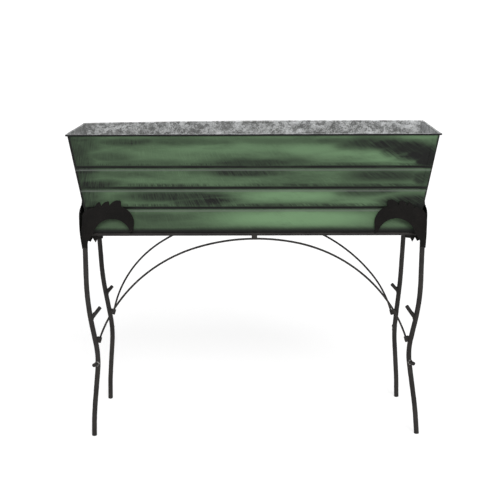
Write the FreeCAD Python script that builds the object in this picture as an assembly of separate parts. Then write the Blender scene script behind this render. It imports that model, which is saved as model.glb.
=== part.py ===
import FreeCAD, Part
import math
import os

# Raised planter: a folded sheet-metal trough that lifts out of a welded wrought-iron stand.
# Millimetres. +X runs along the trough, +Y from front to back, +Z up.
# The origin is on the floor, under the middle of the trough.

V = FreeCAD.Vector

# ---- driving dimensions: stand -------------------------------------------------------------
LEG_X = 413.5            # leg axis from the middle, at the top of the leg
LEG_Y = 130.0            # leg axis from the middle, front and back
LEG_R = 6.35             # half-inch bar
LEG_TOP = 548.0
RAIL_R = 3.97            # 5/16-inch rod
RAIL_TOP = 526.0         # the trough rests here
RAIL_END = 4.0           # the long rails run past the leg axes by this much
ARCH_R = 2.5             # rod radius of the thin arches
ARCH_Y = 125.0           # arch plane
TWIG_R = 4.75            # radius of the cut-off branch stubs
STUB_Z = 194.0           # where the lower stubs leave the legs

# Each leg is bent by hand, so no two are the same.
# (height, inset from LEG_X) of the corners of its path, then the radius of each bend.
LEGS = {
    "front_left": (
        ((LEG_TOP, -0.4), (352, -0.9), (212, 24.1), (55, 7.9), (-8, 6.4)),
        (700, 260, 900),
    ),
    "front_right": (
        ((LEG_TOP, 0.7), (352, 0.5), (222, 26.6), (65, 2.0), (-8, -4.6)),
        (520, 190, 900),
    ),
    "back_left": (
        ((LEG_TOP, 0.0), (485, 0.7), (350, 7.3), (203, 31.5), (62, 20.3), (-8, 18.9)),
        (900, 700, 300, 900),
    ),
    "back_right": (
        ((LEG_TOP, 1.6), (485, 2.6), (338, 7.6), (192, 20.0), (55, 9.1), (-8, 6.9)),
        (900, 900, 380, 900),
    ),
}
# Upper twig of each leg: height where it leaves the leg, then how far it reaches in and up.
TWIGS = {
    "front_left": (308.5, 24.0, 31.0),
    "front_right": (306.0, 23.5, 34.0),
    "back_left": (302.5, 18.0, 21.5),
    "back_right": (304.0, 20.5, 23.0),
}
# Lower stub: how far it reaches outwards, to the front or back, and up.
STUB_FRONT = (8.5, 20.0, 0.5)
STUB_BACK = (0.0, 22.0, 8.0)

# Each arch: shift of its crown from the middle, radius of the flatter crown stretch, radius of
# the side stretches, degrees that the crown turns to the left and right, height of the crown.
ARCHES = {
    "front": (3.5, 500.0, 376.5, 16.6, 10.5, 511.4),
    "back": (-11.0, 436.0, 299.5, 32.2, 50.7, 516.6),
}
# Height of each arch's end, and of the bit of bar that joins it to its leg.
LUG_Z = {"front_left": 254.5, "front_right": 253.0, "back_left": 252.5, "back_right": 248.5}
LUG_DEPTH, LUG_HEIGHT = 8.0, 13.5
LUG_BACK = 2.0           # the lugs and spacers stand this far behind the arch plane
LUG_INTO_LEG = 3.5
LUG_PAST_ARCH = {"front_left": 5.5, "front_right": 5.0, "back_left": 4.5, "back_right": 3.0}
LUG_FILLET = 2.0
LUG_TILT = 16.0          # degrees
SPACER = (13.5, 10.0)    # length and depth of the block over the arch crown

# ---- driving dimensions: sheet leaves ------------------------------------------------------
LEAF_T = 1.6
LEAF_LOW = -36.0         # the leaf's slab runs between these heights above RAIL_TOP
LEAF_MID = 20.0
LEAF_HIGH = 88.0
LEAF_START = -10.0       # and between these distances from the leg's axis
LEAF_STOP = 125.0
# How far the outer surface stands off the leg's axis plane, at the low, mid and high height.
FACE_LEAF_BOW = ((7.4, 13.0, -2.0), (-4.0, -2.0, -2.5))
END_LEAF_BOW = {
    "front_left": ((7.5, 13.0, 9.6), (-4.2, -1.5, 8.4)),
    "front_right": ((7.4, 8.6, 8.0), (-4.2, -1.5, 8.0)),
    "back_left": ((8.0, 13.0, 9.6), (-4.2, -1.5, 8.4)),
    "back_right": ((5.8, 8.6, 8.0), (-4.2, -1.5, 8.0)),
}
GUSSET_T = 2.0

# ---- driving dimensions: trough ------------------------------------------------------------
SHEET = 1.0
REST_GAP = 0.3           # air between rail and trough
BASE_X, BASE_Y = 403.2, 122.5      # half length and half depth outside, at the bottom
RIM_X, RIM_Y = 447.7, 126.0        # and at the rim
RIM_Z = 767.4            # axis height of the rolled rim
ROLL_R = 2.6             # outside radius of the roll
ROLL_TUCK = 0.15         # the roll sits back over the sheet's edge by this much
SHEET_TOP = RIM_Z - SHEET          # the flat of the sheet ends here, inside the roll's wall
WIRE_R = 1.55
EAR = 3.3                # the long rolls run past the corners by this much
WIRE_END = 1.0           # and the long wires past the rolls by this much
FOLD_R = 1.5             # outside bend radius along the bottom
FLANGE = {"left": 8.0, "right": 15.0}   # lap of the end panels over the long faces
LAP_CUT = 1.5            # depth of the cut that clears the top of a lap
GROOVE_END = 1.0         # the grooves stop short of the laps by this much
GROOVE_Z = (686.5, 635.3, 586.0)
GROOVE_R = 6.25
GROOVE_DEPTH = 2.5
DRAIN_R = 5.0
DRAIN_PITCH = 160.0

BASE_Z = RAIL_TOP + REST_GAP       # underside of the trough
CLEAR = 20.0                       # how far cutting shapes reach past what they cut
SAME_HEIGHT = 0.01                 # heights closer than this count as one
PARALLEL = 0.9                     # least cosine of an edge that runs along an axis
RAIL_Y = LEG_Y - LEG_R - RAIL_R
END_RAIL_X = LEG_X - LEG_R - RAIL_R
RAIL_Z = RAIL_TOP - RAIL_R

SIDES = {"left": -1, "right": 1}
ENDS = {"front": -1, "back": 1}
parts = {}


# ---- helpers -------------------------------------------------------------------------------
def bent_path(points, radii):
    """Straight runs through the points, with a tangent arc of the given radius at each corner."""
    edges = []
    start = points[0]
    for corner, after, radius in zip(points[1:-1], points[2:], radii):
        into = (corner - start).normalize()
        out = (after - corner).normalize()
        half_turn = into.getAngle(out) / 2
        reach = radius * math.tan(half_turn)
        first = corner - into * reach
        last = corner + out * reach
        towards_centre = (out - into).normalize()
        middle = corner + towards_centre * (radius / math.cos(half_turn) - radius)
        edges.append(Part.LineSegment(start, first).toShape())
        edges.append(Part.Arc(first, middle, last).toShape())
        start = last
    edges.append(Part.LineSegment(start, points[-1]).toShape())
    return Part.Wire(edges)


def rod(path, radius):
    """A round bar along a wire."""
    edge = path.Edges[0]
    start = edge.valueAt(edge.FirstParameter)
    along = edge.tangentAt(edge.FirstParameter)
    ring = Part.Wire(Part.makeCircle(radius, start, along))
    return path.makePipeShell([ring], True, False)


def bar(start, end, radius):
    """A straight round bar."""
    return Part.makeCylinder(radius, (end - start).Length, start, end - start)


def outline(start, steps):
    """A closed wire in the XZ plane. A step is one point, or two for an arc (middle, end)."""
    edges = []
    here = V(start[0], 0, start[1])
    for step in list(steps) + [(start,)]:
        spots = [V(s, 0, t) for s, t in step]
        if len(spots) == 2:
            edges.append(Part.Arc(here, spots[0], spots[1]).toShape())
        else:
            edges.append(Part.LineSegment(here, spots[0]).toShape())
        here = spots[-1]
    return Part.Wire(edges)


def to_corner(shape, x_flip, y_flip):
    """Mirror a shape made at one corner to another one."""
    if x_flip:
        shape = shape.mirror(V(0, 0, 0), V(1, 0, 0))
    if y_flip:
        shape = shape.mirror(V(0, 0, 0), V(0, 1, 0))
    return shape


def corners():
    for end, end_sign in ENDS.items():
        for side, side_sign in SIDES.items():
            yield f"{end}_{side}", side_sign, end_sign


# ---- stand ---------------------------------------------------------------------------------
def leg_points(name, side, end):
    spots, radii = LEGS[name]
    return [V(side * (LEG_X - inset), end * LEG_Y, z) for z, inset in spots], radii


def leg(name, side, end):
    points, radii = leg_points(name, side, end)
    foot = points[-1]
    corner = V(foot.x - CLEAR, foot.y - CLEAR, -2 * CLEAR)
    below_floor = Part.makeBox(2 * CLEAR, 2 * CLEAR, 2 * CLEAR, corner)
    return rod(bent_path(points, radii), LEG_R).cut(below_floor)


def leg_axis_x(shape, z):
    """Where the leg's axis is at a height, read from the leg itself."""
    slices = shape.slice(V(0, 0, 1), z)
    return slices[0].BoundBox.Center.x


def upper_twig(name, side, end, leg_shape):
    z, reach_in, reach_up = TWIGS[name]
    start = V(leg_axis_x(leg_shape, z), end * LEG_Y, z)
    return bar(start, start + V(-side * reach_in, 0, reach_up), TWIG_R).cut(leg_shape)


def lower_stub(side, end, leg_shape):
    out, away, up = STUB_FRONT if end < 0 else STUB_BACK
    start = V(leg_axis_x(leg_shape, STUB_Z), end * LEG_Y, STUB_Z)
    return bar(start, start + V(side * out, end * away, up), TWIG_R).cut(leg_shape)


def arch_side(end_name, side_name):
    """Points of one half of an arch from its crown down: crown middle, crown end, flank, end."""
    shift, crown_r, flank_r, left, right, crown_z = ARCHES[end_name]
    turn = math.radians(left if side_name == "left" else right)
    flank_x = (crown_r - flank_r) * math.sin(turn)
    flank_z = crown_z - crown_r + (crown_r - flank_r) * math.cos(turn)
    last = math.acos((LUG_Z[f"{end_name}_{side_name}"] - flank_z) / flank_r)
    out = [(crown_r * math.sin(turn / 2), crown_z - crown_r * (1 - math.cos(turn / 2)))]
    for angle in (turn, (turn + last) / 2, last):
        out.append((flank_x + flank_r * math.sin(angle), flank_z + flank_r * math.cos(angle)))
    y = ENDS[end_name] * ARCH_Y
    return [V(shift + SIDES[side_name] * x, y, z) for x, z in out]


def arch(end_name):
    """Basket arch: a flatter crown arc between two side arcs."""
    left = arch_side(end_name, "left")
    right = arch_side(end_name, "right")
    shift, crown_z = ARCHES[end_name][0], ARCHES[end_name][-1]
    crown = V(shift, ENDS[end_name] * ARCH_Y, crown_z)
    edges = [
        Part.Arc(left[3], left[2], left[1]).toShape(),
        Part.Arc(left[1], crown, right[1]).toShape(),
        Part.Arc(right[1], right[2], right[3]).toShape(),
    ]
    return rod(Part.Wire(edges), ARCH_R)


def arch_lug(name, side, end, leg_shape, arch_shape):
    """Short bit of bar, set a little askew, that fills the gap from leg to arch end."""
    z = LUG_Z[name]
    arch_end = abs(arch_side(*name.split("_"))[3].x)
    near = abs(leg_axis_x(leg_shape, z)) - LEG_R + LUG_INTO_LEG
    length = near - arch_end + LUG_PAST_ARCH[name]
    corner = V(-length / 2, -LUG_DEPTH / 2, -LUG_HEIGHT / 2)
    block = Part.makeBox(length, LUG_DEPTH, LUG_HEIGHT, corner)
    block = block.makeFillet(LUG_FILLET, [e for e in block.Edges if abs(e.tangentAt(0).y) > PARALLEL])
    block.rotate(V(0, 0, 0), V(0, 1, 0), -side * LUG_TILT)
    block.translate(V(side * (near - length / 2), end * (ARCH_Y + LUG_BACK), z))
    return block.cut(leg_shape).cut(arch_shape)


def apex_spacer(end_name, rail_shape, arch_shape):
    length, depth = SPACER
    crown_z = ARCHES[end_name][-1]
    height = RAIL_Z - crown_z
    low_corner = V(-length / 2, ENDS[end_name] * (ARCH_Y - LUG_BACK) - depth / 2, crown_z)
    return Part.makeBox(length, depth, height, low_corner).cut(rail_shape).cut(arch_shape)


def long_rail(end):
    reach = LEG_X + RAIL_END
    return bar(V(-reach, end * RAIL_Y, RAIL_Z), V(reach, end * RAIL_Y, RAIL_Z), RAIL_R)


def end_rail(side):
    reach = RAIL_Y - RAIL_R
    return bar(V(side * END_RAIL_X, -reach, RAIL_Z), V(side * END_RAIL_X, reach, RAIL_Z), RAIL_R)


# ---- leaves --------------------------------------------------------------------------------
def leaf_outline():
    """Distance from the leg's axis, height above the rail."""
    steps = [
        ((-6.5, 0),), ((-4, 40),),                         # edge by the trough's corner
        ((0, 55), (12, 62)), ((20, 66.5),), ((24, 63.5),),
        ((29, 72), (37.5, 78.5)), ((42, 69),),             # first tooth
        ((48, 76), (60, 79.5)), ((62, 69),),               # second tooth
        ((70, 78.5), (89, 80.5)), ((90, 67),),             # third tooth
        ((111, 52), (119.5, 20)), ((117, 3),), ((110.5, 3),),   # lobe, curled down to the rail
        ((66, 37.5), (22, 4)),                             # hollow underside
        ((8, -18),), ((5, -35),),
    ]
    return outline((-5, -35), steps)


def bow_profile(depths, s):
    """Closed strip of sheet thickness that bows through the three depths, at distance s."""
    heights = (LEAF_LOW, LEAF_MID, LEAF_HIGH)
    outer = [V(s, d, z) for d, z in zip(depths, heights)]
    inner = [p - V(0, LEAF_T, 0) for p in outer]
    edges = [
        Part.Arc(outer[0], outer[1], outer[2]).toShape(),
        Part.LineSegment(outer[2], inner[2]).toShape(),
        Part.Arc(inner[2], inner[1], inner[0]).toShape(),
        Part.LineSegment(inner[0], outer[0]).toShape(),
    ]
    return Part.Wire(edges)


def leaf(bow):
    """A leaf with its leg's axis at X = 0 and its outside towards +Y."""
    start, stop = bow
    strip = Part.makeLoft([bow_profile(start, LEAF_START), bow_profile(stop, LEAF_STOP)], True, True)
    blank = Part.Face(leaf_outline()).extrude(V(0, 2 * CLEAR, 0))
    blank.translate(V(0, -CLEAR, 0))
    cut = blank.common(strip).Solids[0]
    cut.translate(V(0, 0, RAIL_TOP))
    return cut


def face_leaf(side, end):
    shape = leaf(FACE_LEAF_BOW)
    shape.translate(V(-LEG_X, LEG_Y, 0))
    return to_corner(shape, side > 0, end < 0)


def end_leaf(name, side, end):
    shape = leaf(END_LEAF_BOW[name])
    shape.rotate(V(0, 0, 0), V(0, 0, 1), 90)
    shape.translate(V(-LEG_X, -LEG_Y, 0))
    return to_corner(shape, side > 0, end > 0)


def gusset_leaf(side, end):
    """Small toothed plate that hangs from the long rail beside the leg."""
    top = -2 * RAIL_R
    steps = [
        ((42.5, top),), ((42.5, -13.5),), ((29, -15),), ((24, -24.5),), ((17.5, -13),),
        ((12, -22.5),), ((5, -19),),
    ]
    shape = Part.Face(outline((0, top), steps)).extrude(V(0, GUSSET_T, 0))
    shape.translate(V(-LEG_X, RAIL_Y - GUSSET_T / 2, RAIL_TOP))
    return to_corner(shape, side > 0, end < 0)


# ---- trough --------------------------------------------------------------------------------
def flare(z):
    """0 at the bottom of the trough, 1 at the rim."""
    return (z - BASE_Z) / (RIM_Z - BASE_Z)


def half_length(z):
    return BASE_X + (RIM_X - BASE_X) * flare(z)


def half_depth(z):
    return BASE_Y + (RIM_Y - BASE_Y) * flare(z)


def flared_block(base, top, grow_x, grow_y, fold):
    """The trough's outer form between two heights, grown or shrunk, with its long folds rounded."""
    low_x, high_x = [half_length(z) + grow_x for z in (base, top)]
    low_y, high_y = [half_depth(z) + grow_y for z in (base, top)]
    block = Part.makeWedge(-low_x, base, -low_y, -high_y, -high_x, low_x, top, low_y, high_y, high_x)
    block.rotate(V(0, 0, 0), V(1, 0, 0), 90)
    at_base = [e for e in block.Edges if abs(e.CenterOfMass.z - base) < SAME_HEIGHT]
    return block.makeFillet(fold, [e for e in at_base if abs(e.CenterOfMass.y) > low_y / 2])


def groove_bar(end, z, radius, shorten):
    left, right = [half_length(z) - FLANGE[name] - shorten for name in SIDES]
    y = end * (half_depth(z) - SHEET + GROOVE_R - GROOVE_DEPTH)
    return bar(V(-left, y, z), V(right, y, z), radius)


def roll_axis_y(end):
    return end * (RIM_Y - 2 * SHEET + ROLL_R - ROLL_TUCK)


def long_roll(end, radius, past):
    y = roll_axis_y(end)
    return bar(V(-RIM_X - past, y, RIM_Z), V(RIM_X + past, y, RIM_Z), radius)


def end_roll(side, radius):
    x = side * (RIM_X - SHEET + ROLL_R - ROLL_TUCK)
    reach = RIM_Y - 2 * SHEET - ROLL_TUCK
    return bar(V(x, -reach, RIM_Z), V(x, reach, RIM_Z), radius)


def drain_holes():
    spots = [DRAIN_PITCH * step for step in range(-2, 3)]
    return [Part.makeCylinder(DRAIN_R, 2 * CLEAR, V(x, 0, BASE_Z - CLEAR)) for x in spots]


def trough_body():
    """One sheet: front, bottom and back, with grooves, and long edges rolled round a wire."""
    outside = flared_block(BASE_Z, SHEET_TOP, -SHEET, -SHEET, FOLD_R)
    hollow = flared_block(BASE_Z + SHEET, RIM_Z + CLEAR, CLEAR, -2 * SHEET, FOLD_R - SHEET)
    body = outside.cut(hollow)
    for end in ENDS.values():
        for z in GROOVE_Z:
            body = body.fuse(groove_bar(end, z, GROOVE_R + SHEET, GROOVE_END - SHEET).common(outside))
            body = body.cut(groove_bar(end, z, GROOVE_R, GROOVE_END))
        roll = long_roll(end, ROLL_R, EAR).cut(long_roll(end, ROLL_R - SHEET, EAR + CLEAR))
        body = body.fuse(roll)
    for hole in drain_holes():
        body = body.cut(hole)
    return body.removeSplitter()


def lap_cut(side_name, end):
    """Clears the top of a lap, so that it stops just under the roll."""
    side = SIDES[side_name]
    length = FLANGE[side_name] + CLEAR
    block = Part.makeBox(length, LAP_CUT, CLEAR, V(-length / 2, -LAP_CUT / 2, 0))
    x = side * (RIM_X - SHEET - length / 2)
    y = end * (RIM_Y - SHEET + LAP_CUT / 2)
    block.translate(V(x, y, RIM_Z - ROLL_R - REST_GAP))
    return block


def end_panel(side_name):
    """Flared end sheet with laps round the body, and its top edge rolled round a wire."""
    side = SIDES[side_name]
    outside = flared_block(BASE_Z, SHEET_TOP, 0, 0, FOLD_R + SHEET)
    inside = flared_block(BASE_Z - CLEAR, RIM_Z + CLEAR, -SHEET, -SHEET, FOLD_R)
    middle = flared_block(BASE_Z - CLEAR, RIM_Z + CLEAR, -FLANGE[side_name], CLEAR, FOLD_R)
    half = bar(V(0, 0, BASE_Z), V(side * 2 * RIM_X, 0, BASE_Z), RIM_X)
    panel = outside.cut(inside).cut(middle).common(half)
    for end in ENDS.values():
        panel = panel.cut(long_roll(end, ROLL_R, EAR)).cut(lap_cut(side_name, end))
    roll = end_roll(side, ROLL_R).cut(end_roll(side, ROLL_R - SHEET))
    return panel.fuse(roll).removeSplitter()


# ---- assembly ------------------------------------------------------------------------------
def make_stand():
    rails = {end: long_rail(sign) for end, sign in ENDS.items()}
    arches = {end: arch(end) for end in ENDS}
    for end in ENDS:
        parts[f"{end}_rail"] = rails[end]
        parts[f"{end}_arch"] = arches[end]
        parts[f"{end}_apex_spacer"] = apex_spacer(end, rails[end], arches[end])
    for side, sign in SIDES.items():
        parts[f"{side}_end_rail"] = end_rail(sign)
    for name, side, end in corners():
        leg_shape = leg(name, side, end)
        parts[f"{name}_leg"] = leg_shape
        parts[f"{name}_upper_twig"] = upper_twig(name, side, end, leg_shape)
        parts[f"{name}_lower_stub"] = lower_stub(side, end, leg_shape)
        parts[f"{name}_arch_lug"] = arch_lug(name, side, end, leg_shape, arches[name.split("_")[0]])
        parts[f"{name}_face_leaf"] = face_leaf(side, end).cut(leg_shape)
        parts[f"{name}_end_leaf"] = end_leaf(name, side, end).cut(leg_shape)
        parts[f"{name}_gusset_leaf"] = gusset_leaf(side, end)


def make_trough():
    parts["trough_body"] = trough_body()
    for side, sign in SIDES.items():
        parts[f"{side}_end_panel"] = end_panel(side)
        parts[f"{side}_rim_wire"] = end_roll(sign, WIRE_R)
    for end, sign in ENDS.items():
        parts[f"{end}_rim_wire"] = long_roll(sign, WIRE_R, EAR + WIRE_END)


def main():
    os.makedirs("parts", exist_ok=True)
    make_stand()
    make_trough()
    for name, shape in parts.items():
        solids = shape.Solids
        if len(solids) != 1 or not solids[0].isValid() or solids[0].Volume <= 0:
            raise ValueError(f"{name}: {len(solids)} solids, volume {shape.Volume:.1f}")
        solids[0].exportStep(f"parts/{name}.step")
    print(f"{len(parts)} nodes written")


main()
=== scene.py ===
import math

import bmesh
import bpy
from mathutils import Matrix, Vector, noise


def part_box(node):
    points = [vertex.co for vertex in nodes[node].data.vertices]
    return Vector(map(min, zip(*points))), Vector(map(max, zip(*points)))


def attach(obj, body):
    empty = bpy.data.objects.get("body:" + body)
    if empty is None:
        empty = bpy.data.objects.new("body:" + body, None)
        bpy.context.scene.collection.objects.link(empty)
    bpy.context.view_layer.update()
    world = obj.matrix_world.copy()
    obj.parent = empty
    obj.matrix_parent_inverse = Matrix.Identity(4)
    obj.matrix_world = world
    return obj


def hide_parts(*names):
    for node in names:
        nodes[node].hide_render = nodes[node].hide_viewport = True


# Raised planter: a patinated sheet-metal trough in a black wrought-iron stand.
# Metres, in the CAD model's frame: +X along the trough, +Y from front to back, +Z up.

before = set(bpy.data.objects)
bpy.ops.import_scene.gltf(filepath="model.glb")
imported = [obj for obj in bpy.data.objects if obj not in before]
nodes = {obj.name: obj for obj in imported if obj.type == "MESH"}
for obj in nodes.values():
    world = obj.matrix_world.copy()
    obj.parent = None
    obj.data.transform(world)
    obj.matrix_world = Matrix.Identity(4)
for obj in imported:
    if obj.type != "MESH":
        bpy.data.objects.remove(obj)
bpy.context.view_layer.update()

# ---- sizes of the trough's sheets, as in the CAD model ---------------------------------------
SHEET = 0.001
ROLL_R = 0.0026
ROLL_WALL = 0.0008
ROLL_TUCK = 0.00015
BRIGHT_TO = math.radians(135)    # the roll is bare zinc from inside the trough round to here
ROLL_FROM, ROLL_SWEEP = -8, 333    # degrees: where the curl starts, and how far it goes round
ROLL_STEP = 0.012        # greatest distance between the roll's rings of points
WIRE_R = 0.00155
EAR = 0.0033
WIRE_END = 0.001
FOLD_R = 0.0015
CORNER_R = 0.0018
FLANGE = {-1: 0.008, 1: 0.015}
REST_SAG = 0.00028        # the CAD model leaves a thin gap under the trough. Here it rests
BASE_X, BASE_Y = 0.4032, 0.1225
RIM_X, RIM_Y = 0.4477, 0.126
BASE_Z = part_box("left_end_panel")[0].z - REST_SAG
RIM_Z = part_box("trough_body")[1].z - ROLL_R
SHEET_TOP = RIM_Z - SHEET
GROOVES = (0.6865, 0.6353, 0.586)
GROOVE_DEPTH = 0.0025
GROOVE_HALF = 0.0062
GROOVE_END = 0.001
GROOVE_FADE = 0.008
DRAIN_R = 0.005
DRAIN_PITCH = 0.16
WAVE = 0.0007            # how far the sheet metal buckles in and out

# The hand-made trough is a little out of square. Its front and back rims sit this far to the
# right, the back rim is shorter by this share, and the rims are this much higher at their left and
# right ends. The back rim is also arched.
FRONT_SHIFT, BACK_SHIFT = -0.0011, 0.0040
BACK_SHORT = 0.0085
FRONT_LIFT_LEFT, FRONT_LIFT_RIGHT = -0.0019, 0.0008
BACK_LIFT_LEFT, BACK_LIFT_RIGHT, BACK_CROWN = -0.0019, 0.0047, 0.0028

# ---- sizes of the stand ----------------------------------------------------------------------
RAIL_LOW, RAIL_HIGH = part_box("front_rail")
RAIL_TOP = RAIL_HIGH.z
RAIL_R = (RAIL_HIGH.z - RAIL_LOW.z) / 2
RAIL_Z = RAIL_TOP - RAIL_R
RAIL_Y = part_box("back_rail")[0].y + RAIL_R
END_RAIL_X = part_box("right_end_rail")[0].x + RAIL_R
LEG_R = 0.00635
LEG_X = 0.4135
LEG_Y = 0.130
TWIG_R = 0.00475
TWIGS = {
    "front_left": (0.3085, 0.0240, 0.0310),
    "front_right": (0.3060, 0.0235, 0.0340),
    "back_left": (0.3025, 0.0180, 0.0215),
    "back_right": (0.3040, 0.0205, 0.0230),
}
STUB_Z = 0.194
STUB_FRONT = (0.0085, 0.0200, 0.0005)
STUB_BACK = (0.0, 0.0220, 0.0080)
LEAF_FOOT = 0.035        # the leaves end this far below the rails' tops
LEAF_TIP = 0.114         # and their lobes come down on the rail this far from the leg
FILED = 0.0008           # the filed edge at the ends of a leg
BRANCH_FILED = 0.0006    # and at the end of a branch

# ---- hammer marks: depth, pitch and, for the rails, a bias that keeps them inside the bar -----
LEG_MARKS = (0.00022, 0.014)
BRANCH_MARKS = (0.0002, 0.006)
LUG_MARKS = (0.0003, 0.008)
SPACER_MARKS = (0.00025, 0.008)
ARCH_MARKS = (0.00016, 0.012)
RAIL_MARKS = (0.00005, 0.018, -0.8)
LEAF_MARKS = (0.00012, 0.012)
GUSSET_MARKS = (0.00012, 0.010)

# ---- radii of the weld beads -----------------------------------------------------------------
JOINT_BEAD = 0.0012      # round the twigs and the lugs
STUB_BEAD = 0.0017
RAIL_BEAD = 0.0013       # at the rails' ends, the leaves' feet and the arch crowns
END_RAIL_BEAD = 0.0011
TACK_BEAD = 0.0010
TIP_BEAD = 0.0021        # where a leaf's tip meets the rail

ENDS = {"front": -1, "back": 1}
SIDES = {"left": -1, "right": 1}
CORNERS = [(f"{end}_{side}", SIDES[side], ENDS[end]) for end in ENDS for side in SIDES]


# ---- material helpers ------------------------------------------------------------------------
class Nodes:
    """Builds one material. Each call adds one shader node and returns its output socket."""

    def __init__(self, name):
        self.material = bpy.data.materials.new(name)
        self.material.use_nodes = True
        self.tree = self.material.node_tree
        self.shader = self.tree.nodes["Principled BSDF"]
        self.place = self.add("TexCoord").outputs["Object"]
        parts = self.add("SeparateXYZ", {"Vector": self.place}).outputs
        self.x, self.y, self.z = parts["X"], parts["Y"], parts["Z"]

    def put(self, socket, value):
        if isinstance(value, bpy.types.NodeSocket):
            self.tree.links.new(value, socket)
        else:
            socket.default_value = value

    def add(self, kind, inputs=None, **settings):
        node = self.tree.nodes.new("ShaderNode" + kind)
        for key, value in settings.items():
            setattr(node, key, value)
        for key, value in (inputs or {}).items():
            self.put(node.inputs[key], value)
        return node

    def math(self, operation, a, b=0.0, clamp=False):
        node = self.add("Math", {0: a, 1: b}, operation=operation, use_clamp=clamp)
        return node.outputs[0]

    def vector(self, x, y, z):
        return self.add("CombineXYZ", {"X": x, "Y": y, "Z": z}).outputs[0]

    def stretch(self, scale, place=None):
        inputs = {0: place or self.place, 1: scale}
        return self.add("VectorMath", inputs, operation="MULTIPLY").outputs[0]

    def noise(self, place, scale, detail=3.0, rough=0.5, distortion=0.0):
        inputs = {"Vector": place, "Scale": scale, "Detail": detail}
        inputs.update({"Roughness": rough, "Distortion": distortion})
        return self.add("TexNoise", inputs).outputs[0]

    def smooth(self, value, low, high, first=0.0, last=1.0):
        """Smooth step: first below low, last above high."""
        inputs = {0: value, 1: low, 2: high, 3: first, 4: last}
        return self.add("MapRange", inputs, interpolation_type="SMOOTHSTEP").outputs[0]

    def mix(self, share, a, b):
        node = self.add("Mix", data_type="RGBA")
        for index, value in ((0, share), (6, a), (7, b)):
            self.put(node.inputs[index], value)
        return node.outputs[2]

    def bump(self, height, distance, strength=1.0, below=None):
        inputs = {"Height": height, "Distance": distance, "Strength": strength}
        if below is not None:
            inputs["Normal"] = below
        return self.add("Bump", inputs).outputs[0]

    def finish(self, colour, roughness, normal, metallic=0.0, specular=0.5):
        self.put(self.shader.inputs["Base Color"], colour)
        self.put(self.shader.inputs["Roughness"], roughness)
        self.put(self.shader.inputs["Normal"], normal)
        self.shader.inputs["Metallic"].default_value = metallic
        self.shader.inputs["Specular IOR Level"].default_value = specular
        return self.material


def rgb(red, green, blue):
    return (red, green, blue, 1.0)


# ---- materials -------------------------------------------------------------------------------
# Oval spots on the long faces, as shares of the face: middle along and up, half width, half
# height, strength. First where the patina is brushed back to black, then where it is freshest.
SMUDGES = (
    (-1.00, 0.55, 0.13, 0.75, 0.72),
    (-0.95, 0.90, 0.14, 0.10, 0.62),
    (-0.70, 0.925, 0.17, 0.040, 0.60),
    (-0.40, 0.930, 0.28, 0.035, 0.30),
    (-0.78, 0.78, 0.17, 0.06, 0.50),
    (-0.62, 0.71, 0.30, 0.05, 0.42),
    (0.12, 0.94, 0.26, 0.030, 0.28),
    (-0.03, 0.708, 0.28, 0.05, 0.75),
    (0.20, 0.715, 0.15, 0.05, 0.55),
    (-0.06, 0.62, 0.26, 0.05, 0.80),
    (0.45, 0.935, 0.15, 0.03, 0.50),
    (0.59, 0.910, 0.16, 0.060, 0.78),
    (0.72, 0.90, 0.13, 0.06, 0.95),
    (0.82, 0.865, 0.13, 0.08, 1.00),
    (0.91, 0.82, 0.11, 0.09, 1.00),
    (0.97, 0.75, 0.08, 0.09, 1.00),
    (0.76, 0.585, 0.27, 0.065, 0.74),
    (0.97, 0.56, 0.08, 0.08, 0.75),
    (-0.92, 0.49, 0.16, 0.07, 0.85),
    (-0.76, 0.60, 0.14, 0.04, 0.35),
    (-0.55, 0.455, 0.50, 0.030, 0.45),
    (-0.50, 0.375, 0.30, 0.055, 0.78),
    (-0.30, 0.315, 0.18, 0.05, 0.78),
    (0.64, 0.420, 0.17, 0.050, 0.60),
    (0.90, 0.315, 0.18, 0.08, 0.92),
    (-0.54, 0.155, 0.22, 0.06, 0.50),
    (-0.62, 0.08, 0.34, 0.10, 0.40),
    (-0.88, 0.20, 0.12, 0.12, 0.60),
    (0.93, 0.20, 0.08, 0.15, 0.65),
)
FRESH = (
    (-0.10, 0.86, 0.38, 0.045, 0.28),
    (0.30, 0.85, 0.19, 0.05, 0.50),
    (0.52, 0.80, 0.17, 0.05, 0.50),
    (0.69, 0.775, 0.17, 0.06, 0.70),
    (0.84, 0.72, 0.11, 0.045, 0.50),
    (0.22, 0.38, 0.31, 0.06, 0.78),
    (0.24, 0.145, 0.48, 0.09, 0.90),
    (0.90, 0.975, 0.12, 0.025, 0.35),
    (0.60, 0.31, 0.13, 0.035, 0.25),
    (-0.87, 0.28, 0.06, 0.035, 0.60),
    (0.96, 0.66, 0.06, 0.03, 0.30),
)


END_FACE_FROM = 0.0046   # further than this from the long faces, a point is on an end face
STREAK_SCALE = 330.0     # across the brush marks


def soft_spots(n, place, rows):
    """Strongest of several soft oval spots."""
    strongest = 0.0
    for middle_x, middle_z, half_x, half_z, strength in rows:
        scale = (1 / half_x, 1 / half_z, 0.0)
        shift = (-middle_x / half_x, -middle_z / half_z, 0.0)
        out = n.add("VectorMath", {0: place, 1: scale, 2: shift}, operation="MULTIPLY_ADD").outputs[0]
        distance = n.add("VectorMath", {0: out}, operation="LENGTH").outputs["Value"]
        strongest = n.math("MAXIMUM", strongest, n.smooth(distance, 0.35, 1.45, strength, 0.0))
    return strongest


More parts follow.
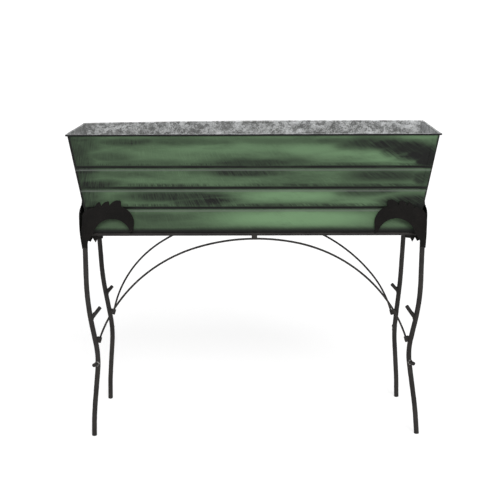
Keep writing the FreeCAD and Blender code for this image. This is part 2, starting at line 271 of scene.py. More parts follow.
def face_place(n):
    """Share of the way along a face, share of the way up, which way it faces, and to its corner."""
    up = n.math("DIVIDE", n.math("SUBTRACT", n.z, BASE_Z), RIM_Z - BASE_Z)
    length = n.math("ADD", n.math("MULTIPLY", up, RIM_X - BASE_X), BASE_X)
    depth = n.math("ADD", n.math("MULTIPLY", up, RIM_Y - BASE_Y), BASE_Y)
    to_corner_x = n.math("SUBTRACT", length, n.math("ABSOLUTE", n.x))
    to_corner_y = n.math("SUBTRACT", depth, n.math("ABSOLUTE", n.y))

    facing = n.math("MULTIPLY", n.math("SIGN", n.y), -1.0)
    long_along = n.math("MULTIPLY", n.math("DIVIDE", n.x, length), facing)
    end_share = n.math("ADD", n.math("MULTIPLY", n.math("DIVIDE", n.y, depth), 0.3), 0.65)
    end_along = n.math("MULTIPLY", end_share, n.math("SIGN", n.x))
    on_end = n.math("GREATER_THAN", to_corner_y, END_FACE_FROM)
    along = n.math("ADD", n.math("MULTIPLY", on_end, end_along),
                   n.math("MULTIPLY", n.math("SUBTRACT", 1.0, on_end), long_along))
    return along, up, facing, n.math("MAXIMUM", to_corner_x, to_corner_y)


def brush_streaks(n, facing):
    """Hand-brushed streaks that lean further over towards the right."""
    lean = n.math("ADD", n.math("MULTIPLY", n.math("MULTIPLY", n.x, facing), 2.2), 0.75)
    drop = n.math("MULTIPLY", n.math("SUBTRACT", n.z, (BASE_Z + RIM_Z) / 2), facing)
    across = n.math("ADD", n.x, n.math("MULTIPLY", drop, lean))
    brushing = n.vector(n.math("MULTIPLY", across, STREAK_SCALE), n.math("MULTIPLY", n.y, STREAK_SCALE),
                        n.math("MULTIPLY", n.z, 30.0))
    return n.noise(brushing, 1.0, detail=3.0, rough=0.65)


def groove_painted_light(n, clouds, streaks):
    """Painted shade in the grooves and just above them, and a painted highlight on the lip below them."""
    shade_in, lip_highlight, shade_above = 0.0, 0.0, 0.0
    for groove_z in GROOVES:
        height = n.math("SUBTRACT", n.z, groove_z)
        in_groove = n.math("ABSOLUTE", n.math("SUBTRACT", height, GROOVE_HALF * 0.33))
        # painted shade inside the groove
        shade_in = n.math("MAXIMUM", shade_in, n.smooth(in_groove, 0.0016, 0.0070, 1.0, 0.0))
        above = n.math("ABSOLUTE", n.math("SUBTRACT", height, GROOVE_HALF * 1.1))
        # painted shade just above the groove
        shade_above = n.math("MAXIMUM", shade_above, n.smooth(above, 0.0015, 0.0110, 0.85, 0.0))
        below = n.math("ABSOLUTE", n.math("ADD", height, GROOVE_HALF * 0.9))
        # painted highlight on the lip below the groove
        lip_highlight = n.math("MAXIMUM", lip_highlight, n.smooth(below, 0.0006, 0.0028, 1.0, 0.0))
    shade_in = n.math("MULTIPLY", shade_in, n.smooth(clouds, 0.30, 0.55, 0.80, 1.0))
    ragged = n.math("ADD", n.math("MULTIPLY", streaks, 0.9), n.math("MULTIPLY", clouds, 0.7))
    shade_above = n.math("MULTIPLY", shade_above, n.smooth(ragged, 0.62, 0.98))
    return shade_in, shade_above, lip_highlight


def patina():
    """Green patina, brushed back to black in smudges and at the edges, with painted shade along the grooves
    and the bottom and a painted highlight below each groove.
    """
    n = Nodes("green_patina")
    along, up, facing, to_edge = face_place(n)
    wander = n.noise(n.stretch((7.0, 7.0, 16.0)), 1.0, detail=4.0, rough=0.6)
    drift = n.math("MULTIPLY", n.math("SUBTRACT", wander, 0.5), 0.26)
    place = n.vector(n.math("ADD", along, drift), n.math("ADD", up, n.math("MULTIPLY", drift, 0.16)), 0.0)
    clouds = n.noise(n.stretch((6.0, 6.0, 26.0)), 1.0, detail=5.0, rough=0.62)
    dark = n.math("ADD", soft_spots(n, place, SMUDGES), n.smooth(clouds, 0.50, 0.74, 0.0, 0.35))
    streaks = brush_streaks(n, facing)
    fine = n.noise(n.stretch((900.0, 900.0, 500.0)), 1.0, detail=2.0)
    groove_shade, shade_above, groove_highlight = groove_painted_light(n, clouds, streaks)

    edge = n.smooth(to_edge, 0.003, 0.009, 1.0, 0.0)
    # painted shade along the bottom of the faces, where the trough sits on the rails
    bottom_shade = n.smooth(up, 0.014, 0.085, 1.0, 0.0)
    streaky = n.math("MULTIPLY", n.math("SUBTRACT", streaks, 0.5), 1.3)
    amount = n.math("ADD", dark, n.math("MULTIPLY", streaky, n.math("ADD", dark, 0.24)))
    for extra in (groove_shade, shade_above, edge, bottom_shade):
        amount = n.math("MAXIMUM", amount, extra)
    amount = n.math("MULTIPLY", amount, 1.0, clamp=True)

    tone = n.noise(n.stretch((9.0, 9.0, 30.0)), 1.0, detail=5.0, rough=0.6)
    green = n.mix(n.smooth(tone, 0.34, 0.66), rgb(0.042, 0.070, 0.038), rgb(0.061, 0.101, 0.055))
    green = n.mix(soft_spots(n, place, FRESH), green, rgb(0.113, 0.198, 0.103))
    green = n.mix(n.smooth(streaks, 0.40, 0.75, 0.0, 0.25), green, rgb(0.117, 0.195, 0.104))
    black = n.mix(n.smooth(fine, 0.4, 0.7), rgb(0.0035, 0.0038, 0.0034), rgb(0.0080, 0.0088, 0.0078))
    colour = n.mix(amount, green, black)
    # painted highlight: a light grey line below each groove
    colour = n.mix(n.math("MULTIPLY", groove_highlight, 0.55), colour, rgb(0.088, 0.098, 0.088))
    rough = n.math("ADD", n.smooth(amount, 0.0, 1.0, 0.62, 0.48), n.math("MULTIPLY", fine, 0.10))
    normal = n.bump(streaks, 0.00025, 0.5)
    normal = n.bump(fine, 0.00012, 0.4, below=normal)
    return n.finish(colour, rough, normal, specular=0.15)


def galvanised():
    """Hot-dip zinc: crystals of several greys, cloudy white bloom and faint runs, all lighter towards the
    right as painted light.
    """
    n = Nodes("galvanised_zinc")
    warp = n.noise(n.stretch((60.0, 60.0, 60.0)), 1.0, detail=2.0)
    place = n.vector(n.math("ADD", n.x, n.math("MULTIPLY", warp, 0.008)), n.y,
                     n.math("ADD", n.z, n.math("MULTIPLY", warp, 0.008)))
    grains = []
    for scale in (120.0, 300.0):
        cells = n.add("TexVoronoi", {"Vector": place, "Scale": scale, "Randomness": 1.0})
        grains.append(n.add("SeparateColor", {"Color": cells.outputs["Color"]}).outputs[0])
    bloom_and_painted_light = n.noise(n.stretch((34.0, 34.0, 60.0)), 1.0, detail=7.0, rough=0.72)
    # painted light: the zinc grows lighter towards the right and darker towards the left
    bloom_and_painted_light = n.math("ADD", bloom_and_painted_light, n.math("MULTIPLY", n.x, 0.10))
    speck = n.noise(n.stretch((330.0, 330.0, 330.0)), 1.0, detail=3.0, rough=0.7)
    value = n.math("ADD", n.math("MULTIPLY", grains[0], 0.45), n.math("MULTIPLY", grains[1], 0.30))
    value = n.math("ADD", value, n.math("MULTIPLY", n.math("SUBTRACT", speck, 0.5), 1.3))
    zinc = n.mix(n.smooth(value, 0.05, 0.75), rgb(0.125, 0.128, 0.125), rgb(0.50, 0.51, 0.51))
    zinc = n.mix(n.smooth(bloom_and_painted_light, 0.51, 0.68, 0.0, 0.70), zinc, rgb(0.72, 0.73, 0.74))
    zinc = n.mix(n.smooth(bloom_and_painted_light, 0.48, 0.36, 0.0, 0.65), zinc, rgb(0.12, 0.12, 0.115))
    rough = n.math("ADD", n.math("MULTIPLY", value, 0.25), 0.36)
    normal = n.bump(value, 0.0003, 0.5)
    return n.finish(zinc, rough, normal, metallic=0.35, specular=0.5)


def dark_edge():
    """Almost black patina of the rolled rim, worn lighter here and there."""
    n = Nodes("dark_rim_patina")
    rub = n.noise(n.stretch((14.0, 14.0, 60.0)), 1.0, detail=4.0, rough=0.6)
    grit = n.noise(n.stretch((500.0, 500.0, 500.0)), 1.0, detail=2.0)
    colour = n.mix(n.smooth(rub, 0.55, 0.75, 0.0, 0.6), rgb(0.006, 0.006, 0.0065), rgb(0.030, 0.033, 0.030))
    colour = n.mix(n.smooth(grit, 0.45, 0.75, 0.0, 0.3), colour, rgb(0.022, 0.024, 0.022))
    rough = n.smooth(rub, 0.3, 0.7, 0.58, 0.46)
    return n.finish(colour, rough, n.bump(grit, 0.0001, 0.4), specular=0.15)


def iron(name, deep, worn, roughness, specular):
    """Satin black paint over forged bar, with thin warm wear and brush texture."""
    n = Nodes(name)
    cloud = n.noise(n.place, 26.0, detail=4.0, rough=0.6)
    grit = n.noise(n.place, 700.0, detail=3.0, rough=0.6)
    dents = n.noise(n.place, 120.0, detail=2.0)
    colour = n.mix(n.smooth(cloud, 0.35, 0.70), deep, worn)
    colour = n.mix(n.smooth(grit, 0.60, 0.78, 0.0, 0.35), colour, rgb(0.095, 0.078, 0.066))
    rough = n.math("ADD", n.smooth(cloud, 0.3, 0.7, roughness - 0.06, roughness + 0.06),
                   n.math("MULTIPLY", grit, 0.08))
    normal = n.bump(dents, 0.0004, 0.5)
    normal = n.bump(grit, 0.00008, 0.5, below=normal)
    return n.finish(colour, rough, normal, specular=specular)


def weld_highlight():
    """Weld beads with bright patches on the black: a painted highlight."""
    n = Nodes("weld_highlight")
    patch = n.noise(n.place, 160.0, detail=3.0, rough=0.6)
    grit = n.noise(n.place, 900.0, detail=2.0)
    # painted highlight: bright patches on the weld beads
    colour = n.mix(n.smooth(patch, 0.42, 0.62), rgb(0.03, 0.028, 0.027), rgb(0.30, 0.29, 0.28))
    rough = n.smooth(patch, 0.4, 0.6, 0.5, 0.38)
    return n.finish(colour, rough, n.bump(grit, 0.0002, 0.5), metallic=0.3)


def wire_steel():
    """Bare drawn wire inside the rolled rim, with a little rust."""
    n = Nodes("wire_steel")
    rust = n.noise(n.place, 180.0, detail=4.0, rough=0.6)
    draw = n.noise(n.stretch((60.0, 900.0, 900.0)), 1.0, detail=2.0)
    colour = n.mix(n.smooth(rust, 0.5, 0.7), rgb(0.18, 0.18, 0.18), rgb(0.10, 0.06, 0.04))
    rough = n.smooth(rust, 0.4, 0.7, 0.35, 0.7)
    return n.finish(colour, rough, n.bump(draw, 0.0001, 0.4), metallic=0.7)


# ---- mesh helpers ----------------------------------------------------------------------------
def smooth(value, low, high):
    share = min(max((value - low) / (high - low), 0.0), 1.0)
    return share * share * (3 - 2 * share)


def new_piece(name, mesh, body, materials, replaces=()):
    """Adds a finished mesh to the object: shading, materials and body, and hides the CAD nodes it replaces.
    """
    mesh.name = name
    piece = bpy.data.objects.new(name, mesh)
    bpy.context.scene.collection.objects.link(piece)
    for material in materials[len(mesh.materials):]:
        mesh.materials.append(material)
    mesh.shade_smooth()
    mesh.set_sharp_from_angle(angle=math.radians(38))
    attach(piece, body)
    if replaces:
        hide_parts(*replaces)


def mesh_from(vertices, faces, finishes=None):
    mesh = bpy.data.meshes.new("new")
    mesh.from_pydata(vertices, [], faces)
    if finishes:
        mesh.polygons.foreach_set("material_index", finishes)
    bm = bmesh.new()
    bm.from_mesh(mesh)
    bmesh.ops.recalc_face_normals(bm, faces=bm.faces)
    bm.to_mesh(mesh)
    bm.free()
    return mesh


def sheet_mesh(outer, inner, outer_finish, edge_finish=1):
    """Closed sheet from two matching grids of points. outer_finish gives each column's finish."""
    rows, columns = len(outer), len(outer[0])
    vertices = [point for grid in (outer, inner) for row in grid for point in row]

    def at(layer, row, column):
        return (layer * rows + row) * columns + column

    faces, finishes = [], []
    for row in range(rows - 1):
        for column in range(columns - 1):
            for layer in (0, 1):
                square = [at(layer, row, column), at(layer, row, column + 1),
                          at(layer, row + 1, column + 1), at(layer, row + 1, column)]
                faces.append(square if layer == 0 else square[::-1])
                finishes.append(outer_finish(column) if layer == 0 else 1)
    border = [(row, 0) for row in range(rows)]
    border += [(rows - 1, column) for column in range(1, columns)]
    border += [(row, columns - 1) for row in range(rows - 2, -1, -1)]
    border += [(0, column) for column in range(columns - 2, 0, -1)]
    for here, after in zip(border, border[1:] + border[:1]):
        faces.append((at(0, *here), at(0, *after), at(1, *after), at(1, *here)))
        finishes.append(edge_finish)
    return mesh_from(vertices, faces, finishes)


def tube(points, radii, closed=False, sides=12):
    """Vertices and faces of a round tube through points. An open one gets flat ends."""
    count = len(points)
    vertices, faces = [], []
    across = None
    for index, point in enumerate(points):
        before = points[index - 1] if closed or index else point
        after = points[(index + 1) % count] if closed or index < count - 1 else point
        along = (after - before).normalized()
        across = across - along * across.dot(along) if across else along.orthogonal()
        across.normalize()
        other = along.cross(across)
        for step in range(sides):
            turn = 2 * math.pi * step / sides
            out = across * math.cos(turn) + other * math.sin(turn)
            vertices.append(point + out * radii[index])
    for index in range(count if closed else count - 1):
        ring, next_ring = index * sides, (index + 1) % count * sides
        for step in range(sides):
            after = (step + 1) % sides
            faces.append((ring + step, ring + after, next_ring + after, next_ring + step))
    if not closed:
        faces.append(tuple(range(sides))[::-1])
        faces.append(tuple((count - 1) * sides + step for step in range(sides)))
    return vertices, faces


def join(shapes):
    """One mesh from several lists of vertices and faces."""
    vertices, faces = [], []
    for more_vertices, more_faces in shapes:
        start = len(vertices)
        vertices += more_vertices
        faces += [tuple(start + index for index in face) for face in more_faces]
    return mesh_from(vertices, faces)


def hammer(mesh, depth, pitch, bias=0.0):
    """Light dents along the normals. bias -1 keeps every dent inside the first surface."""
    bm = bmesh.new()
    bm.from_mesh(mesh)
    bm.normal_update()
    for vertex in bm.verts:
        dent = noise.noise(vertex.co / pitch) + 0.5 * noise.noise(vertex.co * 2.3 / pitch)
        vertex.co += vertex.normal * depth * (dent + bias)
    bm.to_mesh(mesh)
    bm.free()


def dense_copy(node, steps, cuts=()):
    """A copy of a CAD node's mesh, cut at even steps along each axis and at given heights."""
    bm = bmesh.new()
    bm.from_mesh(nodes[node].data)
    bmesh.ops.remove_doubles(bm, verts=bm.verts, dist=1e-6)
    low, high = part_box(node)
    planes = [(2, height) for height in cuts]
    for axis, step in enumerate(steps):
        if step:
            count = math.ceil((high[axis] - low[axis]) / step)
            planes += [(axis, low[axis] + step * index) for index in range(1, count)]
    for axis, distance in planes:
        normal = Vector([1.0 if index == axis else 0.0 for index in range(3)])
        geometry = bm.verts[:] + bm.edges[:] + bm.faces[:]
        bmesh.ops.bisect_plane(bm, geom=geometry, dist=1e-7, plane_co=normal * distance, plane_no=normal)
    mesh = bpy.data.meshes.new("new")
    bm.to_mesh(mesh)
    bm.free()
    return mesh


# ---- trough ----------------------------------------------------------------------------------
def flare(z):
    """0 at the bottom of the trough, 1 at the rim."""
    return (z - BASE_Z) / (RIM_Z - BASE_Z)


def half_length(z):
    return BASE_X + (RIM_X - BASE_X) * flare(z)


def half_depth(z):
    return BASE_Y + (RIM_Y - BASE_Y) * flare(z)


def rack(x, y, z):
    """Where a point of the square trough is on the slightly crooked one."""
    back = smooth(y, -RIM_Y, RIM_Y)
    right = 0.5 + x / (2 * RIM_X)
    shift = FRONT_SHIFT + (BACK_SHIFT - FRONT_SHIFT - BACK_SHORT * x) * back * flare(z)
    front_lift = FRONT_LIFT_LEFT + (FRONT_LIFT_RIGHT - FRONT_LIFT_LEFT) * right
    back_lift = BACK_LIFT_LEFT + (BACK_LIFT_RIGHT - BACK_LIFT_LEFT) * right
    back_lift += BACK_CROWN * (1 - (x / RIM_X) ** 2)
    lift = front_lift + (back_lift - front_lift) * back
    return Vector((x + shift, y, z + lift * flare(z)))


def buckle(along, z, half):
    """How far a flat sheet bulges: nothing at its edges, a soft wave in the middle."""
    free = math.sin(math.pi * min(max(flare(z), 0.0), 1.0)) * (1 - (abs(along) / half) ** 8)
    return WAVE * free * noise.noise(Vector((along * 6.0, z * 8.0, half * 40.0)))


def groove(x, z):
    """Depth of the pressed grooves, which run out softly beside the laps."""
    depth = 0.0
    for height in GROOVES:
        out = abs(z - height) / GROOVE_HALF
        if out < 1:
            lap = FLANGE[1 if x > 0 else -1]
            left_over = half_length(height) - lap - GROOVE_END - abs(x)
            depth = GROOVE_DEPTH * (0.5 + 0.5 * math.cos(math.pi * out)) * smooth(left_over, 0, GROOVE_FADE)
    return depth


def wall_heights():
    """Heights of a long wall's rows of points, close together across the grooves."""
    low, high, count = BASE_Z + FOLD_R, SHEET_TOP, 18
    near, steps = GROOVE_HALF * 1.25, 7
    even = [low + (high - low) * index / count for index in range(count + 1)]
    heights = [z for z in even if all(abs(z - height) > near for height in GROOVES)]
    for height in GROOVES:
        heights += [height + near * step / steps for step in range(-steps, steps + 1)]
    return sorted(heights)


def body_profile():
    """Front wall down, bottom, back wall up: y, z, outward y and z, and if it is a wall."""
    heights = wall_heights()
    edge = half_depth(BASE_Z) - SHEET - FOLD_R
    profile = [(-(half_depth(z) - SHEET), z, -1, 0, True) for z in reversed(heights)]
    for degrees in (210, 240):
        turn = math.radians(degrees)
        profile.append((-edge + FOLD_R * math.cos(turn), BASE_Z + FOLD_R + FOLD_R * math.sin(turn),
                        math.cos(turn), math.sin(turn), False))
    profile += [(edge * step / 8, BASE_Z, 0, -1, False) for step in range(-8, 9)]
    for degrees in (300, 330):
        turn = math.radians(degrees)
        profile.append((edge + FOLD_R * math.cos(turn), BASE_Z + FOLD_R + FOLD_R * math.sin(turn),
                        math.cos(turn), math.sin(turn), False))
    profile += [(half_depth(z) - SHEET, z, 1, 0, True) for z in heights]
    return profile


def drill(mesh):
    """Cuts the drain holes through the bottom."""
    places = [DRAIN_PITCH * step for step in range(-2, 3)]
    ends = [[Vector((x, 0, BASE_Z - side * DRAIN_R)) for side in (1, -1)] for x in places]
    bits = [tube(pair, (DRAIN_R, DRAIN_R), sides=32) for pair in ends]
    drills = bpy.data.objects.new("drills", join(bits))
    plate = bpy.data.objects.new("plate", mesh)
    for thing in (drills, plate):
        bpy.context.scene.collection.objects.link(thing)
    cut = plate.modifiers.new("cut", "BOOLEAN")
    cut.operation = "DIFFERENCE"
    cut.object = drills
    cut.solver = "EXACT"
    bpy.context.view_layer.update()
    drilled = bpy.data.meshes.new_from_object(plate.evaluated_get(bpy.context.evaluated_depsgraph_get()))
    for thing in (drills, plate):
        bpy.data.objects.remove(thing)
    return drilled


def wall_columns():
    """Shares along a long wall, close together near its ends, where the grooves run out."""
    even = [step / 40 for step in range(-37, 38)]
    close = [0.94 + 0.06 * step / 12 for step in range(13)]
    return sorted(even + close + [-share for share in close])


def trough_body():
    outer, inner = [], []
    for share in wall_columns():
        outer_row, inner_row = [], []
        for y, z, out_y, out_z, is_wall in body_profile():
            half = half_length(z) - SHEET
            x = share * half
            push = buckle(x, z, half) - groove(x, z) if is_wall else 0.0
            outer_row.append(rack(x, y + out_y * push, z + out_z * push))
            inner_row.append(rack(x, y + out_y * (push - SHEET), z + out_z * (push - SHEET)))
        outer.append(outer_row)
        inner.append(inner_row)
    mesh = sheet_mesh(outer, inner, lambda column: 0)
    mesh.materials.append(PATINA)
    mesh.materials.append(ZINC)
    mesh = drill(mesh)
    new_piece("trough_sheet_body", mesh, "planter", (PATINA, ZINC), ["trough_body"])


def panel_path(side, z):
    """Round an end sheet from lap to lap at one height: x, y, outward x and y, if it is a lap."""
    length, depth, lap = half_length(z), half_depth(z), FLANGE[side]
    run = lap - CORNER_R
    spots = [(length - lap + run * step / 3, -depth, 0, -1, True) for step in range(3)]
    for first, corner_y in ((-90, -depth + CORNER_R), (0, depth - CORNER_R)):
        for step in range(5):
            turn = math.radians(first + 90 * step / 4)
            out_x, out_y = math.cos(turn), math.sin(turn)
            x, y = length - CORNER_R + CORNER_R * out_x, corner_y + CORNER_R * out_y
            spots.append((x, y, out_x, out_y, False))
        if first < 0:
            flat = depth - CORNER_R
            spots += [(length, flat * step / 12, 1, 0, False) for step in range(-11, 12)]
    spots += [(length - CORNER_R - run * step / 3, depth, 0, 1, True) for step in range(1, 4)]
    return [(side * x, y, side * out_x, out_y, is_lap) for x, y, out_x, out_y, is_lap in spots]


def end_panel(name, side):
    rows = 26
    lap_top = RIM_Z - ROLL_R
    outer, inner = [], []
    for row in range(rows + 1):
        share = row / rows
        z = BASE_Z + (SHEET_TOP - BASE_Z) * share
        outer_row, inner_row = [], []
        for x, y, out_x, out_y, is_lap in panel_path(side, z):
            height = BASE_Z + (lap_top - BASE_Z) * share if is_lap else z
            push = 0.0 if is_lap else buckle(y, z, half_depth(z)) * abs(out_x)
            outer_row.append(rack(x + out_x * push, y + out_y * push, height))
            push -= SHEET
            inner_row.append(rack(x + out_x * push, y + out_y * push, height))
        outer.append(outer_row)
        inner.append(inner_row)
    mesh = sheet_mesh(outer, inner, lambda column: 0, edge_finish=0)
    new_piece(f"{name}_end_sheet", mesh, "planter", (PATINA, ZINC), [f"{name}_end_panel"])


def roll_axes():
    """Name, first point, last point and inward direction of the four rolled edges."""
    long_y = RIM_Y - 2 * SHEET + ROLL_R - ROLL_TUCK
    long_x = RIM_X + EAR
    end_x = RIM_X - SHEET + ROLL_R - ROLL_TUCK
    end_y = RIM_Y - 2 * SHEET - ROLL_TUCK
    for name, sign in ENDS.items():
        yield name, (-long_x, sign * long_y), (long_x, sign * long_y), Vector((0, -sign, 0))
    for name, sign in SIDES.items():
        yield name, (sign * end_x, -end_y), (sign * end_x, end_y), Vector((-sign, 0, 0))


def rim(name, first, last, inward):
    """The sheet's edge curled outwards round a wire, and the wire."""
    steps = math.ceil((Vector(last) - Vector(first)).length / ROLL_STEP)
    turns = [math.radians(ROLL_FROM + ROLL_SWEEP * step / 18) for step in range(19)]
    outer, inner, axis = [], [], []
    for step in range(steps + 1):
        x, y = Vector(first).lerp(Vector(last), step / steps)
        centre = rack(x, y, RIM_Z)
        axis.append(centre)
        swell = 1 + 0.05 * noise.noise(Vector((x * 30, y * 30, 2.0)))
        directions = [inward * math.cos(turn) + Vector((0, 0, 1)) * math.sin(turn) for turn in turns]
        outer.append([centre + out * ROLL_R * swell for out in directions])
        inner.append([centre + out * (ROLL_R * swell - ROLL_WALL) for out in directions])
    mesh = sheet_mesh(outer, inner, lambda column: 1 if turns[column] < BRIGHT_TO else 0)
    new_piece(f"{name}_rolled_rim", mesh, "planter", (RIM, ZINC))
    along = (axis[-1] - axis[0]).normalized()
    axis[0] = axis[0] - along * WIRE_END
    axis[-1] = axis[-1] + along * WIRE_END
    wire = join([tube(axis, [WIRE_R] * len(axis), sides=16)])
    new_piece(f"{name}_rolled_wire", wire, "planter", (WIRE,), [f"{name}_rim_wire"])


# ---- stand -----------------------------------------------------------------------------------
def leg_centre(mesh, z):
    """Middle of the leg at a height."""
    window = LEG_R * 0.6
    near = [vertex.co for vertex in mesh.vertices if abs(vertex.co.z - z) < window]
    return Vector((sum(point.x for point in near) / len(near), sum(point.y for point in near) / len(near), z))


def chamfer_ends(mesh, size):
    """Files the sharp edge off both ends of an upright bar."""
    heights = [vertex.co.z for vertex in mesh.vertices]
    for end in (min(heights), max(heights)):
        edge = [vertex for vertex in mesh.vertices if abs(vertex.co.z - end) < size / 4]
        centre = sum((vertex.co for vertex in edge), Vector()) / len(edge)
        for vertex in edge:
            vertex.co = centre.lerp(vertex.co, 1 - size / LEG_R)


def forged(node, steps, marks, material):
    """A hammered copy of a CAD node, cut finely enough to show the marks."""
    mesh = dense_copy(node, steps)
    hammer(mesh, *marks)
    new_piece(f"{node}_forged", mesh, "stand", (material,), [node])


def branch(name, centre, reach):
    """A cut-off branch stub that grows out of a leg, with a filed end."""
    length = reach.length
    along = reach / length
    first, last, count = LEG_R * 0.6, length - BRANCH_FILED, 9
    spots = [first + (last - first) * step / count for step in range(count + 1)] + [length]
    radii = [TWIG_R] * (count + 1) + [TWIG_R - BRANCH_FILED]
    mesh = join([tube([centre + along * spot for spot in spots], radii, sides=28)])
    hammer(mesh, *BRANCH_MARKS)
    new_piece(f"{name}_forged", mesh, "stand", (IRON,), [name])


def saddle(centre, reach, radius, bar_radius):
    """The closed line where a round branch meets an upright round bar."""
    along = reach.normalized()
    across = along.cross(Vector((0, 0, 1))).normalized()
    other = along.cross(across)
    points = []
    count = 44
    for step in range(count):
        turn = 2 * math.pi * step / count
        out = (across * math.cos(turn) + other * math.sin(turn)) * radius
        a = along.x ** 2 + along.y ** 2
        b = 2 * (along.x * out.x + along.y * out.y)
        c = out.x ** 2 + out.y ** 2 - bar_radius ** 2
        far = (-b + math.sqrt(max(b * b - 4 * a * c, 0.0))) / (2 * a)
        points.append(centre + out + along * far)
    return points


def bead(points, radius, closed=False):
    """A weld bead: a thin tube whose thickness ripples."""
    radii = []
    for index, point in enumerate(points):
        ripple = 0.16 * math.cos(index * math.pi / 2) + 0.35 * noise.noise(point * 260)
        radii.append(radius * (1 + ripple))
    return tube(points, radii, closed, sides=8)


def line(start, end, count):
    return [start.lerp(end, step / count) for step in range(count + 1)]


def ring(centre, u, v, count=24):
    turns = [2 * math.pi * step / count for step in range(count)]
    return [centre + u * math.cos(turn) + v * math.sin(turn) for turn in turns]


def twig_weld(name, side, leg_mesh):
    height, reach_in, reach_up = TWIGS[name]
    reach = Vector((-side * reach_in, 0, reach_up))
    joint = saddle(leg_centre(leg_mesh, height), reach, TWIG_R + 0.0002, LEG_R)
    return bead(joint, JOINT_BEAD, True)


def lug_weld(name, side, leg_mesh):
    low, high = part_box(f"{name}_arch_lug")
    middle = (low + high) / 2
    leg = leg_centre(leg_mesh, middle.z)
    half_y, half_z = (high.y - low.y) / 2, (high.z - low.z) / 2 - JOINT_BEAD
    loop = ring(Vector((0, middle.y, middle.z)), Vector((0, half_y, 0)), Vector((0, 0, half_z)), 32)
    for point in loop:
        out = math.sqrt(max(LEG_R ** 2 - (point.y - leg.y) ** 2, (LEG_R * 0.45) ** 2))
        point.x = leg.x - side * out
    return bead(loop, JOINT_BEAD, True)


def rail_welds(side, end):
    """Where the long rail meets the leg, and the end rail hangs on the long one."""
    touch = Vector((side * LEG_X, end * (RAIL_Y + RAIL_R), RAIL_Z))
    joint = Vector((side * END_RAIL_X, end * (RAIL_Y - RAIL_R * 0.75), RAIL_Z))
    turns = [math.radians(-200 + 220 * step / 16) for step in range(17)]
    hang = [joint + Vector((math.cos(turn) * RAIL_R, 0, math.sin(turn) * RAIL_R)) for turn in turns]
    return [bead(ring(touch, Vector((0.0032, 0, 0)), Vector((0, 0, 0.0028))), RAIL_BEAD, True),
            bead(hang, END_RAIL_BEAD)]


def leaf_foot_welds(side, end, leg_mesh):
    foot = RAIL_TOP - LEAF_FOOT
    leg = leg_centre(leg_mesh, foot)
    width, proud = 0.0045, LEG_R + 0.0001
    face = Vector((leg.x, end * (LEG_Y + LEG_R + 0.0001), foot))
    outside = Vector((leg.x + side * proud, leg.y, foot))
    return [bead(line(face - Vector((width, 0, 0)), face + Vector((width, 0, 0)), 10), RAIL_BEAD),
            bead(line(outside - Vector((0, width, 0)), outside + Vector((0, width, 0)), 10), RAIL_BEAD)]


def gusset_tacks(side, end):
    """Short tacks on both sides of the gusset leaf, under the long rail."""
    height, run = RAIL_Z - RAIL_R + 0.0003, Vector((side * 0.007, 0, 0))
    tacks = []
    for y_sign in (-1, 1):
        for reach_x in (0.012, 0.031):
            tack = Vector((side * (LEG_X - reach_x), end * RAIL_Y + y_sign * 0.0012, height))
            tacks.append(bead(line(tack, tack - run, 7), TACK_BEAD))
    return tacks


def leaf_tip_weld(side, end):
    tip = Vector((side * (LEG_X - LEAF_TIP), end * (RAIL_Y + RAIL_R + 0.0012), RAIL_TOP - 0.0016))
    half = Vector((0.0022, 0, 0))
    return bead(line(tip - half, tip + half, 6), TIP_BEAD)


def corner_welds(name, side, end, leg_mesh):
    """Beads at the joints of one corner."""
    shapes = [twig_weld(name, side, leg_mesh), lug_weld(name, side, leg_mesh)]
    shapes += rail_welds(side, end)
    shapes += leaf_foot_welds(side, end, leg_mesh)
    shapes += gusset_tacks(side, end)
    shapes.append(leaf_tip_weld(side, end))
    new_piece(f"{name}_welds", join(shapes), "stand", (IRON,))


def stand_corner(name, side, end):
    leg_node = f"{name}_leg"
    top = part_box(leg_node)[1].z
    leg_mesh = dense_copy(leg_node, (0, 0, 0.006), (FILED, top - FILED))
    chamfer_ends(leg_mesh, FILED)
    hammer(leg_mesh, *LEG_MARKS)
    new_piece(f"{leg_node}_forged", leg_mesh, "stand", (IRON,), [leg_node])

    height, reach_in, reach_up = TWIGS[name]
    branch(f"{name}_upper_twig", leg_centre(leg_mesh, height), Vector((-side * reach_in, 0, reach_up)))
    out, away, up = STUB_FRONT if end < 0 else STUB_BACK
    centre, reach = leg_centre(leg_mesh, STUB_Z), Vector((side * out, end * away, up))
    branch(f"{name}_lower_stub", centre, reach)
    stub_bead = join([bead(saddle(centre, reach, TWIG_R + 0.0003, LEG_R), STUB_BEAD, True)])
    new_piece(f"{name}_stub_weld", stub_bead, "stand", (WELD_HIGHLIGHT,))

    forged(f"{name}_arch_lug", (0.003, 0.003, 0.003), LUG_MARKS, IRON)
    forged(f"{name}_face_leaf", (0.004, 0, 0.004), LEAF_MARKS, SHADED_LEAF_IRON)
    forged(f"{name}_end_leaf", (0, 0.004, 0.004), LEAF_MARKS, SHADED_LEAF_IRON)
    forged(f"{name}_gusset_leaf", (0.003, 0, 0.003), GUSSET_MARKS, SHADED_LEAF_IRON)
    corner_welds(name, side, end, leg_mesh)


def stand_frame():
    for name, end in ENDS.items():
        forged(f"{name}_rail", (0.008, 0, 0), RAIL_MARKS, IRON)
        forged(f"{name}_arch", (0, 0, 0), ARCH_MARKS, IRON)
        forged(f"{name}_apex_spacer", (0.003, 0.003, 0.002), SPACER_MARKS, IRON)
        seam_y = end * (RAIL_Y + RAIL_R)
        low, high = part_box(f"{name}_apex_spacer")
        seam = line(Vector((low.x, seam_y, RAIL_Z)), Vector((high.x, seam_y, RAIL_Z)), 16)
        new_piece(f"{name}_apex_weld", join([bead(seam, RAIL_BEAD)]), "stand", (IRON,))
    for name in SIDES:
        forged(f"{name}_end_rail", (0, 0.008, 0), RAIL_MARKS, IRON)


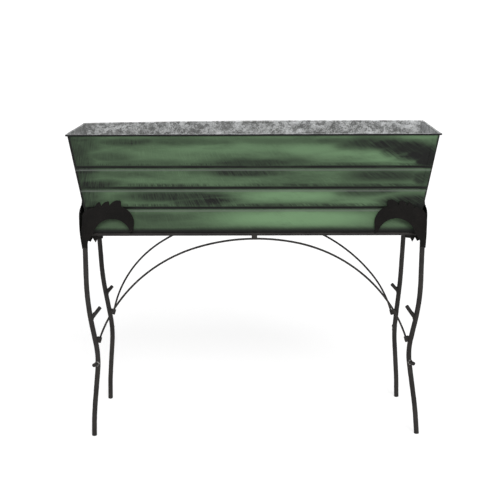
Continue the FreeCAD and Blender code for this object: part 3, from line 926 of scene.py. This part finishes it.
# ---- stage -----------------------------------------------------------------------------------
CAMERA_AT = Vector((-0.0622, -2.6214, 1.0643))
CAMERA_PITCH = math.radians(13.106)
CAMERA_YAW = math.radians(1.179)
CAMERA_ROLL = math.radians(0.103)
CAMERA_LENS = 75.05
SENSOR = 36.0
# Broad soft lights: azimuth, elevation and spread in degrees, then power.
LIGHTS = {"key": (14.0, 38.0, 30.0, 2.4), "fill": (-30.0, 30.0, 40.0, 0.5)}
WORLD_GLOW = 0.35
FLOOR_GLOW = 0.75
FLOOR_FLAT, FLOOR_BEND, FLOOR_WALL = 26.0, 4.0, 9.0    # flat radius, bend radius, wall height
FLOOR_SIDES = 72


def make_camera():
    data = bpy.data.cameras.new("camera")
    data.lens = CAMERA_LENS
    data.sensor_width = SENSOR
    camera = bpy.data.objects.new("camera", data)
    turn = Matrix.Rotation(-CAMERA_YAW, 4, "Z") @ Matrix.Rotation(math.pi / 2 - CAMERA_PITCH, 4, "X")
    camera.matrix_world = Matrix.Translation(CAMERA_AT) @ turn @ Matrix.Rotation(CAMERA_ROLL, 4, "Z")
    bpy.context.scene.collection.objects.link(camera)
    bpy.context.scene.camera = camera


def far_light(name, azimuth, elevation, spread, power):
    """A broad soft light a long way off, towards the front at azimuth 0."""
    data = bpy.data.lights.new(name, "SUN")
    data.angle = math.radians(spread)
    data.energy = power
    lamp = bpy.data.objects.new(name, data)
    lamp.rotation_euler = (math.radians(90 - elevation), 0.0, math.radians(azimuth))
    bpy.context.scene.collection.objects.link(lamp)


def make_lights():
    for name, settings in LIGHTS.items():
        far_light(name, *settings)
    world = bpy.data.worlds.new("studio")
    world.use_nodes = True
    background = world.node_tree.nodes["Background"]
    background.inputs["Color"].default_value = rgb(1.0, 1.0, 1.0)
    background.inputs["Strength"].default_value = WORLD_GLOW
    bpy.context.scene.world = world
    bpy.context.scene.view_settings.view_transform = "Standard"


def floor_mesh():
    """Rings of points out over the flat, up the bend and up the wall."""
    profile = [(FLOOR_FLAT * step / 6, 0.0) for step in range(1, 7)]
    for step in range(1, 9):
        turn = math.pi / 2 * step / 8
        profile.append((FLOOR_FLAT + FLOOR_BEND * math.sin(turn), FLOOR_BEND * (1 - math.cos(turn))))
    profile.append((FLOOR_FLAT + FLOOR_BEND, FLOOR_WALL))
    vertices, faces = [Vector((0.0, 0.0, 0.0))], []
    for radius, height in profile:
        for side in range(FLOOR_SIDES):
            turn = 2 * math.pi * side / FLOOR_SIDES
            vertices.append(Vector((radius * math.cos(turn), radius * math.sin(turn), height)))
    for side in range(FLOOR_SIDES):
        after = (side + 1) % FLOOR_SIDES
        faces.append((0, 1 + side, 1 + after))
        for first in range(1, 1 + FLOOR_SIDES * (len(profile) - 1), FLOOR_SIDES):
            above = first + FLOOR_SIDES
            faces.append((first + side, above + side, above + after, first + after))
    return mesh_from(vertices, faces)


def make_floor():
    """A wide round floor that sweeps up into a low wall, like a studio backdrop."""
    mesh = floor_mesh()
    mesh.shade_smooth()
    floor = bpy.data.objects.new("floor", mesh)
    bpy.context.scene.collection.objects.link(floor)
    n = Nodes("pale_floor")
    mottle = n.noise(n.place, 3.0, detail=3.0)
    colour = n.mix(mottle, rgb(0.34, 0.34, 0.34), rgb(0.36, 0.36, 0.36))
    n.finish(colour, 0.9, n.bump(mottle, 0.0005, 0.1), specular=0.05)
    n.shader.inputs["Emission Color"].default_value = rgb(1.0, 1.0, 1.0)
    n.shader.inputs["Emission Strength"].default_value = FLOOR_GLOW
    mesh.materials.append(n.material)


make_camera()
make_lights()
make_floor()

PATINA = patina()
ZINC = galvanised()
RIM = dark_edge()
IRON = iron("black_iron", rgb(0.014, 0.0125, 0.012), rgb(0.024, 0.022, 0.0205), 0.5, 0.12)
# The leaves' iron: more matte than the stand's, and darker as painted shade on the flat leaves.
SHADED_LEAF_IRON = iron("leaf_iron_painted_shade", rgb(0.0052, 0.0048, 0.0045), rgb(0.0078, 0.0071, 0.0066), 0.6, 0.05)
WELD_HIGHLIGHT = weld_highlight()
WIRE = wire_steel()

trough_body()
for side_name, side_sign in SIDES.items():
    end_panel(side_name, side_sign)
for edge in roll_axes():
    rim(*edge)
for corner in CORNERS:
    stand_corner(*corner)
stand_frame()
